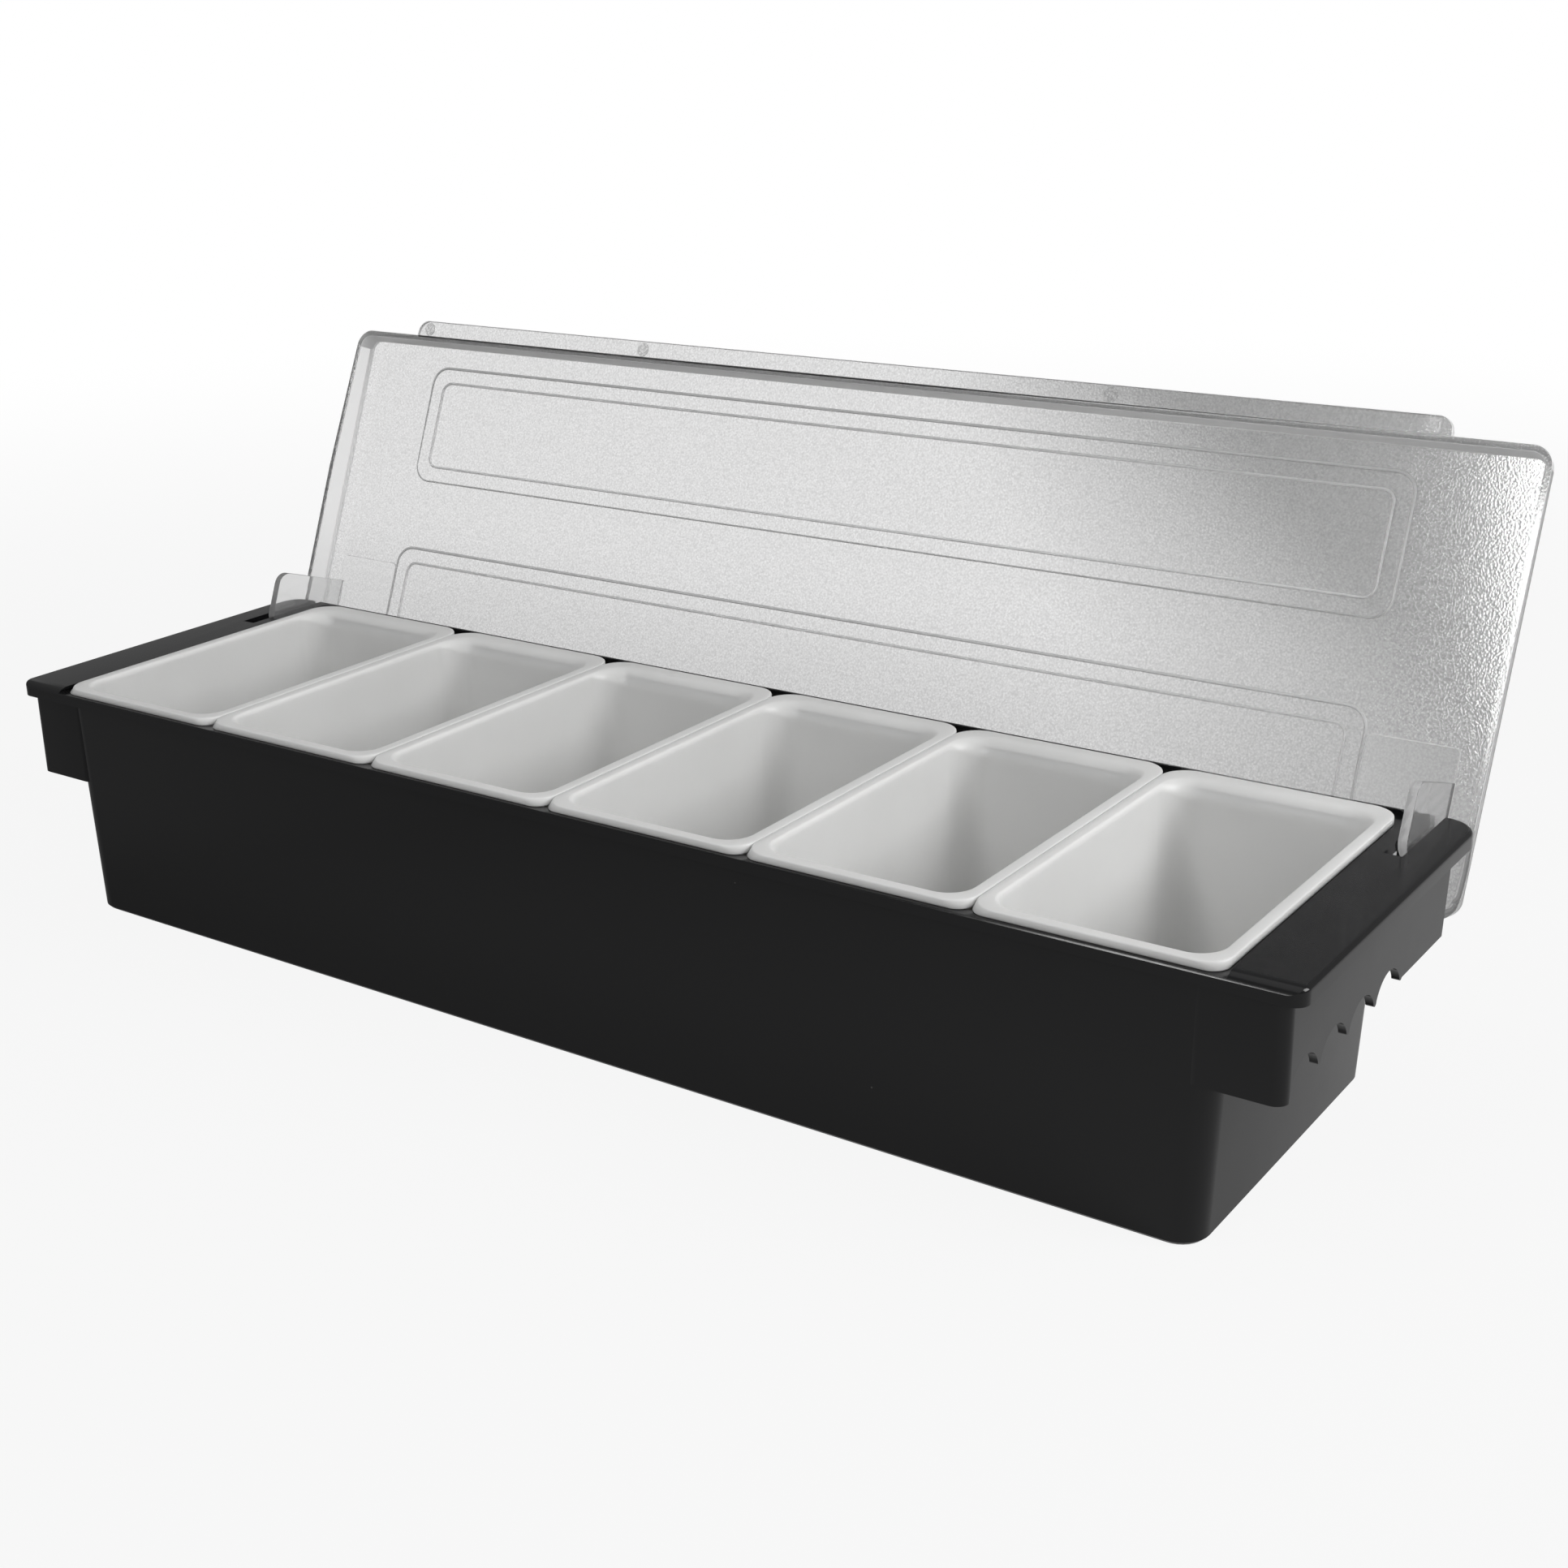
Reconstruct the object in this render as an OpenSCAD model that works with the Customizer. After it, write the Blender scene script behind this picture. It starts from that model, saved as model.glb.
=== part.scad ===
// Compartment spice box: a black moulded housing that carries a row of six
// drop-in trays under one clear hinged lid. The lid stands open on its stop.
// X runs along the box, Y to its back, Z up. The origin lies on the
// underside, below the centre of the flange.

/* [Trays] */
// Pitch of the trays along the box
tray_pitch = 75; // [70:0.5:82]
// Gap between neighbouring tray rims
tray_gap = 0.3; // [0.2:0.1:1]
// Depth of a tray rim, front to back
tray_depth = 131.3; // [122:0.1:145]
// Height of a tray rim
tray_rim_h = 2.4; // [1.6:0.1:3.5]
// Width of the rim outside the tray wall, at the front and sides
tray_rim_w = 2.6; // [2:0.1:4]
// Width of the rim outside the tray wall, at the back
tray_back_rim = 8.8; // [6:0.1:10]
// Corner radius of a tray rim
tray_rim_r = 8; // [5:0.5:12]
// Wall of a tray
tray_wall = 1.8; // [1.2:0.1:2.4]
// Inward taper of a tray wall from rim to bottom
tray_taper = 3.2; // [1:0.1:5]
// Clear height below the trays
tray_under = 4; // [2:0.1:12]
// Radius of the tray's bottom edges
tray_bottom_r = 9; // [5:0.5:12]

/* [Housing] */
// Height of the flange's top above the underside
flange_top = 84; // [76:0.5:100]
// Width of each end flange beyond the row of trays
end_flange_w = 22.5; // [21:0.1:28]
// Flange in front of the tray rims
front_land = 1.8; // [1.2:0.1:4]
// Flange behind the tray rims
back_land = 4.1; // [3:0.1:6]
// Corner radius of the flange at the back
flange_r = 10; // [8:0.5:14]
// Corner radius of the flange at the front
front_r = 5; // [5:0.5:10]
// Thickness of the flange plate
flange_t = 3.4; // [3:0.1:3.8]
// Depth of the recess that holds the tray rims
deck_drop = 1.6; // [1:0.1:2]
// Gap between the row of rims and the edge of its recess
deck_play = 1.8; // [0.5:0.1:2.5]
// Width of the rolled front of the flange
front_roll_w = 5; // [4:0.1:8]
// Fall of the rolled front
front_roll_drop = 2; // [1.6:0.1:2.4]
// Height of the flange's edge
lip_h = 5.2; // [4:0.1:7]
// Rounding of the flange's top edge
lip_round = 1.6; // [0.8:0.1:2]
// Wall of the housing
wall_t = 2.4; // [1.8:0.1:3]
// Overhang of the front lip beyond the front wall
front_overhang = 1.6; // [1:0.1:2]
// Gap between the trays and the tub's inner walls
tray_play = 0.8; // [0.5:0.1:1.5]
// Inward taper of the tub's end walls
end_taper = 3.6; // [1:0.1:6]
// Inward taper of the tub's back wall
back_taper = 1.8; // [1:0.1:4]
// Radius of the tub's upright corners
tub_r = 9; // [7:0.5:12]
// Bevel along the tub's bottom edge
tub_bevel = 1.2; // [0.6:0.1:2]

/* [End grips] */
// Inset of the grip's end wall below the flange edge
grip_inset = 4.1; // [3.5:0.1:5]
// Height of the grip's front wall below the flange top
grip_front_h = 34.5; // [30:0.5:40]
// Height of the grip's end wall below the flange top
grip_end_h = 31.3; // [28:0.1:38]
// Radius of the grip's front corner
grip_r = 4; // [3:0.1:5]
// Radius of one finger scallop
scallop_r = 10; // [8:0.1:11]
// Pitch of the finger scallops
scallop_pitch = 20.3; // [19:0.1:24]
// Height of a scallop above the grip's lower edge
scallop_rise = 6.4; // [4:0.1:8]
// Distance from the front wall to the first scallop's centre
scallop_start = 13.6; // [13:0.1:16]
// Backward lean of the end wall's rear edge
grip_rear_lean = 3.7; // [0:0.1:6]

/* [Hinge] */
// Depth of the pivot below the flange top
pivot_drop = 9.9; // [9:0.1:11]
// Distance of the pivot from the flange's back edge
pivot_back = 12.6; // [12:0.1:13.5]
// Radius of a pivot peg
peg_r = 3; // [2:0.1:3.5]
// Running clearance of a peg in its bore
peg_play = 0.08; // [0.04:0.01:0.1]
// Radius of a bearing lug round its bore
lug_r = 6.4; // [5.5:0.1:7]
// Thickness of a bearing lug
lug_t = 2.4; // [2:0.1:2.8]
// Width of a hinge slot
slot_w = 5.6; // [5:0.1:6.5]
// Distance of a slot's centre from the flange's end
slot_inset = 13.5; // [13:0.1:14]
// Length of a slot from the flange's back edge
slot_len = 38.1; // [37.5:0.1:42]
// Thickness of a hinge arm
arm_t = 2.8; // [2:0.1:3.4]
// Offset of a hinge arm from its slot's centre towards the trays
arm_offset = 1.1; // [0:0.1:1.1]
// Reach of a hinge arm below the lid's rim
arm_reach = 27.5; // [25:0.1:28]
// Side play of the arm's boss between its lugs
boss_play = 0.3; // [0.2:0.05:0.5]

/* [Lid] */
// Inset of the lid's sides from the flange's ends
lid_inset = 2.5; // [1.5:0.1:3.2]
// Overhang of the lid at the front
lid_front_over = 3.3; // [2.8:0.1:5]
// Overhang of the lid at the back
lid_back_over = 4.5; // [4.3:0.1:5]
// Gap between the closed lid and the flange
lid_gap = 0.3; // [0.2:0.1:1]
// Depth inside the lid
lid_depth = 8; // [7.8:0.1:14]
// Thickness of the lid's panel
lid_panel_t = 2.4; // [1.6:0.1:3]
// Thickness of the lid's rim
lid_wall = 2.2; // [1.6:0.1:2.4]
// Inward taper of the lid's rim from edge to panel
lid_taper = 1.2; // [0.5:0.1:2]
// Corner radius of the lid
lid_r = 7; // [5:0.5:10]
// Rise of the lid's rim towards its front
lid_front_rise = 2.4; // [0.5:0.1:4]
// Angle that the lid opens from closed
lid_swing = 112.5; // [95:0.5:113]
// Reach of the handle tab beyond the lid's front
tab_reach = 5.8; // [4:0.1:12]
// Distance from the lid's sides to the handle tab
tab_inset = 32; // [15:1:60]
// Thickness of the handle tab
tab_t = 2.4; // [1.8:0.1:3]
// Radius of the handle tab's outer corners
tab_r = 5; // [3:0.1:5.5]
// Height of the raised frames on the lid's inner face
frame_h = 0.9; // [0.4:0.1:1]
// Width of a raised frame
frame_w = 6; // [4:0.1:6.5]
// Size of a raised frame across the lid
frame_depth = 46.3; // [40:0.1:48]
// Distance from the lid's sides to the raised frames
frame_inset = 41; // [38:1:60]
// Distance from the lid's front to the first frame
frame_front = 11.7; // [9:0.1:14]
// Distance between the two frames
frame_gap = 27.6; // [22:0.1:29]
// Outer corner radius of a raised frame
frame_r = 7; // [6:0.5:9]
// Inner corner radius of a raised frame
frame_inner_r = 4; // [1.5:0.5:6]

/* [Hidden] */
$fn = 48;
tray_n = 6;
scallop_n = 4;
// Overlap that fuses shapes of one moulding
fuse = 0.5;
// Thickness of the slabs in a hull
slab_t = 0.2;
// Radius of the bead at the tip between two scallops
nib_r = 1.1;
// Overshoot of a cut beyond the face that it opens
over = 1;

row_half = tray_n * tray_pitch / 2;
flange_len = 2 * (row_half + end_flange_w);
flange_depth = tray_depth + front_land + back_land;
half_x = flange_len / 2;
half_y = flange_depth / 2;

// Tray: sides of its rim and of its wall, and its heights
rim_front = front_land - half_y;
rim_back = half_y - back_land;
rim_half = (tray_pitch - tray_gap) / 2;
wall_half = rim_half - tray_rim_w;
wall_front = rim_front + tray_rim_w;
wall_back = rim_back - tray_back_rim;
deck_z = flange_top - deck_drop;
tray_top = deck_z + tray_rim_h;
tray_floor = wall_t + tray_under;
rim_round = 0.6;
tray_corner_step = 1.6;
tray_inner_r = tray_rim_r - tray_corner_step;
flare_drop = 3;
flare_w = 1.8;
back_flare_w = 3;

// Recess for the rims, and the arc of the rolled front
deck_r = 5;
deck_half = row_half - tray_gap / 2 + deck_play;
front_roll_r = (front_roll_w ^ 2 + front_roll_drop ^ 2) / (2 * front_roll_drop);

// Tub: outer faces at the top
tub_front = front_overhang - half_y;
tub_back = wall_back + tray_play + wall_t;
tub_half = row_half - tray_pitch / 2 + wall_half + tray_play + wall_t;

// Grip
grip_half = half_x - grip_inset;
grip_bottom = flange_top - grip_front_h;
grip_edge = flange_top - grip_end_h;
pivot_y = half_y - pivot_back;
pivot_z = flange_top - pivot_drop;
grip_rear = pivot_y;
// Width of the rib inside the end wall's rear edge
rear_rib = 1;

// Hinge
slot_x = half_x - slot_inset;
slot_front = half_y - slot_len;

// Lid, closed
lid_edge = flange_top + lid_gap;
lid_half = half_x - lid_inset;
lid_front = -half_y - lid_front_over;
lid_back = half_y + lid_back_over;
lid_len_y = lid_back - lid_front;
lid_mid = (lid_back + lid_front) / 2;
lid_inner = lid_edge + lid_depth;
// Distance from the lid's middle to the start of the rise
lid_rise_lead = 14.4;
// Back edge of the flange's rounded corner where the lid's side rim passes it
flange_corner_y = half_y - flange_r
    + sqrt(flange_r ^ 2 - max(0, lid_half - lid_wall - half_x + flange_r) ^ 2);

// Hinge arm and the pad at its root
arm_lead = 3.6;
arm_front = slot_front + arm_lead;
arm_corner_r = 5;
arm_spread = 2.4;
boss_wall = 2.2;
boss_r = peg_r + boss_wall;
pad_gap = 0.8;
pad_lead = 9.3;
pad_h = 0.5;
pad_r = 2;

// Closed outline with round corners, centred
module round_rect(lx, ly, r) {
    square([lx - 2 * r, ly], center = true);
    square([lx, ly - 2 * r], center = true);
    for (sx = [-1, 1], sy = [-1, 1])
        translate([sx * (lx / 2 - r), sy * (ly / 2 - r)])
            circle(r);
}

// The same outline given by its four sides
module outline(x0, x1, y0, y1, r) {
    translate([(x0 + x1) / 2, (y0 + y1) / 2])
        round_rect(x1 - x0, y1 - y0, r);
}

// Carries a profile round a rounded rectangle: profile X points outward
// with 0 on the outer edge, profile Y is up. Its front corners have radius near
module edge_ring(lx, ly, r, near) {
    for (k = [0:3]) {
        side = k % 2 == 0;
        corner = k < 2 ? r : near;
        along = side ? ly - r - near : lx - 2 * (k == 1 ? r : near);
        reach = side ? lx / 2 : ly / 2;
        shift = side ? (k - 1) * (r - near) / 2 : 0;
        rotate([0, 0, 90 * k])
            translate([reach, shift, 0])
                rotate([90, 0, 0])
                    linear_extrude(along, center = true)
                        children();
        sx = k == 0 || k == 3 ? 1 : -1;
        sy = k < 2 ? 1 : -1;
        translate([sx * (lx / 2 - corner), sy * (ly / 2 - corner), 0])
            rotate([0, 0, 90 * k])
                rotate_extrude(angle = 90)
                    translate([corner, 0])
                        children();
    }
}

// Band profile with a rounded top outer edge
module band_profile(w, h, round) {
    translate([-w, -h])
        square([w - round, h]);
    translate([-w / 2 - round, -h])
        square([w / 2 + round, h - round]);
    translate([-round, -round])
        circle(round);
}

// Thin slab of an outline, for hulls
module slab(z, x0, x1, y0, y1, r) {
    translate([0, 0, z])
        linear_extrude(slab_t)
            outline(x0, x1, y0, y1, r, $fn = 32);
}

// Mirrored pair left and right
module both_ends() {
    for (side = [0, 1])
        mirror([side, 0, 0])
            children();
}

// Plate profile drawn in Y and Z, extruded along X from x0 to x1
module along_x(x0, x1) {
    translate([x0, 0, 0])
        rotate([90, 0, 90])
            linear_extrude(x1 - x0)
                children();
}

// Tapered box with a round bottom, as a stack of outlines: insets grow along
// the taper and then round the bottom edge
module tub_form(z0, z1, x, y0, y1, r, taper, round) {
    low_r = max(r, round + slab_t);
    hull() {
        slab(z1 - slab_t, -x, x, y0, y1, r);
        for (a = [0:22.5:90]) {
            inset = taper + round * (1 - cos(a));
            slab(z0 + round * (1 - sin(a)), inset - x, x - inset, y0 + inset, y1 - inset,
                low_r - round * (1 - cos(a)));
        }
    }
}

// TRAY
module tray(i) {
    x = (i - (tray_n + 1) / 2) * tray_pitch;
    color([0.86, 0.86, 0.84])
        translate([x, 0, 0])
            difference() {
                union() {
                    tub_form(tray_floor, deck_z + fuse, wall_half, wall_front, wall_back,
                        tray_rim_r - tray_rim_w, tray_taper, tray_bottom_r);
                    tray_rim();
                }
                tub_form(tray_floor + tray_wall, tray_top + over, wall_half - tray_wall,
                    wall_front + tray_wall, wall_back - tray_wall,
                    tray_inner_r, tray_taper, tray_bottom_r - tray_wall);
                tray_mouth();
            }
}

// Flat rim with a rounded outer edge
module tray_rim() {
    translate([0, (rim_front + rim_back) / 2, tray_top])
        edge_ring(2 * rim_half, rim_back - rim_front, tray_rim_r, tray_rim_r)
            band_profile(tray_rim_w + tray_wall, tray_rim_h, rim_round);
    translate([0, 0, deck_z])
        linear_extrude(tray_rim_h)
            outline(-rim_half + rim_round, rim_half - rim_round,
                rim_front + rim_round, rim_back - rim_round, tray_rim_r - rim_round);
}

// Flared mouth of a tray, wider towards the back
module tray_mouth() {
    x = wall_half - tray_wall;
    y0 = wall_front + tray_wall;
    y1 = wall_back - tray_wall;
    r = tray_inner_r;
    hull() {
        slab(tray_top + slab_t, -x - flare_w, x + flare_w, y0 - flare_w, y1 + back_flare_w, r);
        slab(tray_top - flare_drop, -x, x, y0, y1, r);
    }
}

// HOUSING
module housing() {
    color([0.09, 0.09, 0.095])
        difference() {
            union() {
                tub_outer();
                flange();
                both_ends() {
                    grip();
                    hinge_lugs();
                }
            }
            tub_cavity();
            deck_recess();
            both_ends() {
                hinge_slot();
                pivot_bore();
            }
        }
}

// Outside of the tub, upright in front and tapered elsewhere
module tub_outer() {
    x1 = tub_half;
    x0 = tub_half - end_taper;
    y1 = tub_back - back_taper;
    hull() {
        slab(flange_top - flange_t, -x1, x1, tub_front, tub_back, tub_r);
        slab(tub_bevel, -x0, x0, tub_front, y1, tub_r);
        slab(0, tub_bevel - x0, x0 - tub_bevel, tub_front + tub_bevel, y1 - tub_bevel, tub_r - tub_bevel);
    }
}

// Inside of the tub, open at the top
module tub_cavity() {
    x1 = tub_half - wall_t;
    x0 = x1 - end_taper;
    y0 = tub_front + wall_t;
    y1 = tub_back - wall_t;
    r = tub_r - wall_t;
    hull() {
        slab(flange_top, -x1, x1, y0, y1, r);
        slab(wall_t + r / 2, -x0, x0, y0, y1 - back_taper, r);
        slab(wall_t, r / 2 - x0, x0 - r / 2, y0 + r / 2, y1 - back_taper - r / 2, r / 2);
    }
}

// Plate with a deeper, rounded edge all round and a rolled front
module flange() {
    difference() {
        union() {
            translate([0, 0, flange_top])
                edge_ring(flange_len, flange_depth, flange_r, front_r)
                    band_profile(min(grip_inset + fuse, front_r - slab_t), lip_h, lip_round);
            translate([0, 0, flange_top - flange_t])
                linear_extrude(flange_t)
                    round_rect(flange_len - 2 * lip_round, flange_depth - 2 * lip_round,
                        flange_r - lip_round);
        }
        front_roll();
    }
}

// What the roll takes off the flange's front
module front_roll() {
    along_x(-half_x - over, half_x + over)
        difference() {
            translate([-half_y - over, flange_top - front_roll_drop - over])
                square([front_roll_w + over, front_roll_drop + 2 * over]);
            translate([front_roll_w - half_y, flange_top - front_roll_r])
                circle(front_roll_r, $fn = 96);
        }
}

// Shallow recess round the row of tray rims, open at the front
module deck_recess() {
    translate([0, 0, deck_z])
        linear_extrude(deck_drop + over)
            outline(-deck_half, deck_half, -half_y - 2 * deck_r, rim_back + deck_play, deck_r);
}

// Open-bottomed grip: front wall, scalloped end wall and a short rear return
module grip() {
    grip_start = tub_half - tub_r - over;
    top = flange_top - flange_t + fuse;
    difference() {
        translate([0, 0, grip_bottom])
            linear_extrude(top - grip_bottom)
                difference() {
                    outline(grip_start, grip_half, tub_front, grip_rear + grip_r, grip_r);
                    outline(grip_start - over, grip_half - wall_t, tub_front + wall_t,
                        grip_rear + grip_r + over, grip_r - wall_t);
                    translate([grip_start - over, tub_front + grip_r])
                        square([tub_half - grip_start, flange_depth]);
                }
        grip_cut();
    }
    first = tub_front + scallop_start;
    along_x(grip_half - wall_t, grip_half)
        for (i = [0:scallop_n - 1])
            translate([first + (i + 0.5) * scallop_pitch, grip_edge + nib_r / 2])
                circle(nib_r);
    along_x(grip_half - wall_t - rear_rib, grip_half)
        polygon([
            [grip_rear - wall_t, top],
            [grip_rear, top],
            [grip_rear - grip_rear_lean, grip_edge],
            [grip_rear - grip_rear_lean - wall_t, grip_edge]
        ]);
}

// Everything that is cut from the grip's end wall: scallops, lower edge, rear edge
module grip_cut() {
    first = tub_front + scallop_start;
    centre_z = grip_edge + scallop_rise - scallop_r;
    along_x(grip_half - wall_t - over, grip_half + over) {
        for (i = [0:scallop_n - 1])
            translate([first + i * scallop_pitch, centre_z])
                circle(scallop_r);
        translate([first, grip_bottom - over])
            square([flange_depth, grip_edge - grip_bottom + over]);
        polygon([
            [grip_rear, flange_top],
            [grip_rear, grip_edge + grip_end_h - lip_h],
            [grip_rear - grip_rear_lean, grip_edge],
            [grip_rear - grip_rear_lean, grip_bottom - over],
            [half_y, grip_bottom - over],
            [half_y, flange_top]
        ]);
    }
}

// Two lugs below the flange that carry the lid's pivot peg
module hinge_lugs() {
    for (x = [slot_x - slot_w / 2 - lug_t, slot_x + slot_w / 2])
        along_x(x, x + lug_t) {
            translate([pivot_y, pivot_z])
                circle(lug_r);
            translate([pivot_y - lug_r, pivot_z])
                square([2 * lug_r, flange_top - flange_t + fuse - pivot_z]);
        }
}

// Slot for a hinge arm, open at the flange's back edge
module hinge_slot() {
    translate([slot_x - slot_w / 2, slot_front, flange_top - lip_h - over])
        cube([slot_w, slot_len + over, lip_h + 2 * over]);
}

// Bore through both lugs
module pivot_bore() {
    along_x(slot_x - slot_w / 2 - lug_t - fuse, slot_x + slot_w / 2 + lug_t + fuse)
        translate([pivot_y, pivot_z])
            circle(peg_r + peg_play);
}

// LID, modelled closed and then swung open about its pivot
module lid() {
    color([0.80, 0.82, 0.83])
        translate([0, pivot_y, pivot_z])
            rotate([-lid_swing, 0, 0])
                translate([0, -pivot_y, -pivot_z])
                    closed_lid();
}

module closed_lid() {
    difference() {
        union() {
            lid_shell();
            handle_tab();
        }
        lid_rise_cut();
        side_relief();
    }
    lid_frames();
    both_ends() {
        hinge_pad();
        hinge_arm();
    }
}

// Panel with a tapered rim that has rounded outer edges
module lid_shell() {
    translate([0, lid_mid, lid_edge])
        edge_ring(2 * lid_half, lid_len_y, lid_r, lid_r)
            lid_profile();
    inset = lid_taper + lid_panel_t;
    translate([0, lid_mid, lid_inner])
        linear_extrude(lid_panel_t)
            round_rect(2 * (lid_half - inset), lid_len_y - 2 * inset, lid_r - inset);
}

// Section of the lid's rim: tapered wall below a quarter-round edge
module lid_profile() {
    inset = lid_taper + lid_panel_t;
    polygon([
        [0, 0],
        [-lid_taper, lid_depth],
        [-inset, lid_depth + lid_panel_t],
        [-inset - fuse, lid_depth + lid_panel_t],
        [-inset - fuse, lid_depth],
        [-lid_wall - lid_taper, lid_depth],
        [-lid_wall, 0]
    ]);
    intersection() {
        translate([-inset, lid_depth])
            circle(lid_panel_t);
        translate([-inset, lid_depth])
            square(lid_panel_t);
    }
}

// Handle tab along the front, level with the rim's edge
module handle_tab() {
    half = lid_half - tab_inset;
    tip = lid_front - tab_reach;
    translate([0, 0, lid_edge + lid_front_rise])
        linear_extrude(tab_t)
            intersection() {
                outline(-half, half, tip, tip + 4 * tab_r, tab_r);
                translate([-half, tip])
                    square([2 * half, tab_reach + lid_wall]);
            }
}

// Lifts the rim's edge towards the front
module lid_rise_cut() {
    start = lid_mid - lid_rise_lead;
    along_x(-lid_half - over, lid_half + over)
        polygon([
            [start, lid_edge],
            [lid_front - tab_reach - over, lid_edge + lid_front_rise],
            [lid_front - tab_reach - over, lid_edge - over],
            [start, lid_edge - over]
        ]);
}

// Round relief in both side rims, so that they swing past the flange's back corner
module side_relief() {
    relief_r = norm([flange_corner_y - pivot_y, pivot_drop]) + lid_gap;
    both_ends()
        along_x(lid_half - lid_wall - lid_taper - fuse, lid_half + over)
            translate([pivot_y, pivot_z])
                circle(relief_r);
}

// Two raised frames on the panel's inner face
module lid_frames() {
    half = lid_half - frame_inset;
    for (i = [0, 1]) {
        y0 = lid_front + frame_front + i * (frame_depth + frame_gap);
        translate([0, 0, lid_inner - frame_h])
            linear_extrude(frame_h + fuse)
                difference() {
                    outline(-half, half, y0, y0 + frame_depth, frame_r);
                    outline(frame_w - half, half - frame_w, y0 + frame_w, y0 + frame_depth - frame_w,
                        frame_inner_r);
                }
    }
}

// Raised pad on the panel's inner face, at the root of a hinge arm
module hinge_pad() {
    x0 = lid_half - frame_inset + pad_gap;
    y0 = slot_front - pad_lead;
    translate([0, 0, lid_inner - pad_h])
        linear_extrude(pad_h + fuse)
            outline(x0, slot_x, y0, pivot_y + lug_r, pad_r);
}

// Hinge arm: a plate across the lid with a boss and a pivot peg
module hinge_arm() {
    corner_z = lid_edge - arm_reach + arm_corner_r;
    along_x(slot_x - arm_offset - arm_t / 2, slot_x - arm_offset + arm_t / 2)
        hull() {
            translate([arm_front + arm_corner_r, corner_z])
                circle(arm_corner_r);
            translate([pivot_y - arm_corner_r, corner_z])
                circle(arm_corner_r);
            translate([pivot_y, pivot_z])
                circle(lug_r);
            translate([arm_front - arm_spread, lid_inner])
                square([pivot_y + lug_r + 2 * arm_spread - arm_front, lid_panel_t / 2]);
        }
    boss_half = slot_w / 2 - boss_play;
    along_x(slot_x - boss_half, slot_x + boss_half)
        translate([pivot_y, pivot_z])
            circle(boss_r);
    along_x(slot_x - slot_w / 2 - lug_t, slot_x + slot_w / 2 + lug_t)
        translate([pivot_y, pivot_z])
            circle(peg_r);
}

housing();
tray(1);  // tray_1
tray(2);  // tray_2
tray(3);  // tray_3
tray(4);  // tray_4
tray(5);  // tray_5
tray(6);  // tray_6
lid();
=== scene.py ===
# %% [markdown]
# # A compartment spice box
#
# The object is a kitchen and bar box for cut fruit and spices. It has three kinds of moulding: a black housing, six
# white drop-in trays and one clear lid on two hinge arms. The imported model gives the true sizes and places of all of
# them. This script dresses it: it gives every moulding its plastic, models the trays' soft rims as a loft, rounds the
# edges that a mould rounds, and lights the box as in a small photo studio.

import math

import bmesh
import bpy
from mathutils import Matrix, Vector


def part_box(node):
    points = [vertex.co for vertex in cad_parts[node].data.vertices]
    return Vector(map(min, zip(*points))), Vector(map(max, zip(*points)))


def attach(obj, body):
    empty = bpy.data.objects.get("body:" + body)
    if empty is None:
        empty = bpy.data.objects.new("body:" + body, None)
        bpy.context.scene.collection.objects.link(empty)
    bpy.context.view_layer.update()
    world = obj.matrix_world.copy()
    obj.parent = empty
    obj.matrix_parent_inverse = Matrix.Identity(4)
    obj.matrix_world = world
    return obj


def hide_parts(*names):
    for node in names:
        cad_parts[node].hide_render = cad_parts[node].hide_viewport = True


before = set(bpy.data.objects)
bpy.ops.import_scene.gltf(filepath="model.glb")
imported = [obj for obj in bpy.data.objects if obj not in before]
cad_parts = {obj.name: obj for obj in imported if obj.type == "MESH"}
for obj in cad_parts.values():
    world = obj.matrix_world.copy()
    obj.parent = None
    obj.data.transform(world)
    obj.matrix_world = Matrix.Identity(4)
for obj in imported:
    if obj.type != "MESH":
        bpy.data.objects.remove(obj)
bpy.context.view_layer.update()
MM = 0.001

# %% [markdown]
# ## The camera
#
# A picture of a box with straight edges holds its own camera: the corners and parallels fix the lens, the place and
# the direction. Here they gave a lens of about 51 mm on a full-frame sensor, at 0.76 m from the box, turned 34.7
# degrees to its right side and looking down by 20 degrees. The camera's three axes are built from those angles, so
# that nothing depends on a target object.

# %% Camera
CAMERA_AT = Vector((423.9, -547.8, 322.0)) * MM
CAMERA_TURN = math.radians(34.687)
CAMERA_DOWN = math.radians(20.076)
CAMERA_ROLL = math.radians(-1.0147)
LENS_MM = 50.79
SENSOR_MM = 36


def camera_axes(turn, down, roll):
    """Right, up and backward directions of a camera that looks along +Y, turned to -X and down."""
    forward = Vector((-math.sin(turn) * math.cos(down), math.cos(turn) * math.cos(down), -math.sin(down)))
    level = Vector((math.cos(turn), math.sin(turn), 0))
    above = level.cross(forward)
    right = math.cos(roll) * level + math.sin(roll) * above
    up = -math.sin(roll) * level + math.cos(roll) * above
    return right, up, -forward


camera_data = bpy.data.cameras.new("photo_camera")
camera_data.lens = LENS_MM
camera_data.sensor_width = SENSOR_MM
camera = bpy.data.objects.new("photo_camera", camera_data)
axes = Matrix(camera_axes(CAMERA_TURN, CAMERA_DOWN, CAMERA_ROLL)).transposed()
camera.matrix_world = Matrix.Translation(CAMERA_AT) @ axes.to_4x4()
bpy.context.scene.collection.objects.link(camera)
bpy.context.scene.camera = camera
print("camera at", [round(v, 3) for v in CAMERA_AT], "lens", LENS_MM)

# %% [markdown]
# ## Helpers for the materials
#
# A colour picked from a screen is in sRGB, but the renderer works with linear light. One function turns a hex value
# into linear numbers. A second one adds a node with its settings and links, so that a material reads like a list. The
# others start an empty material and turn a pattern's real size in millimetres into the scale of a texture.


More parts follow.
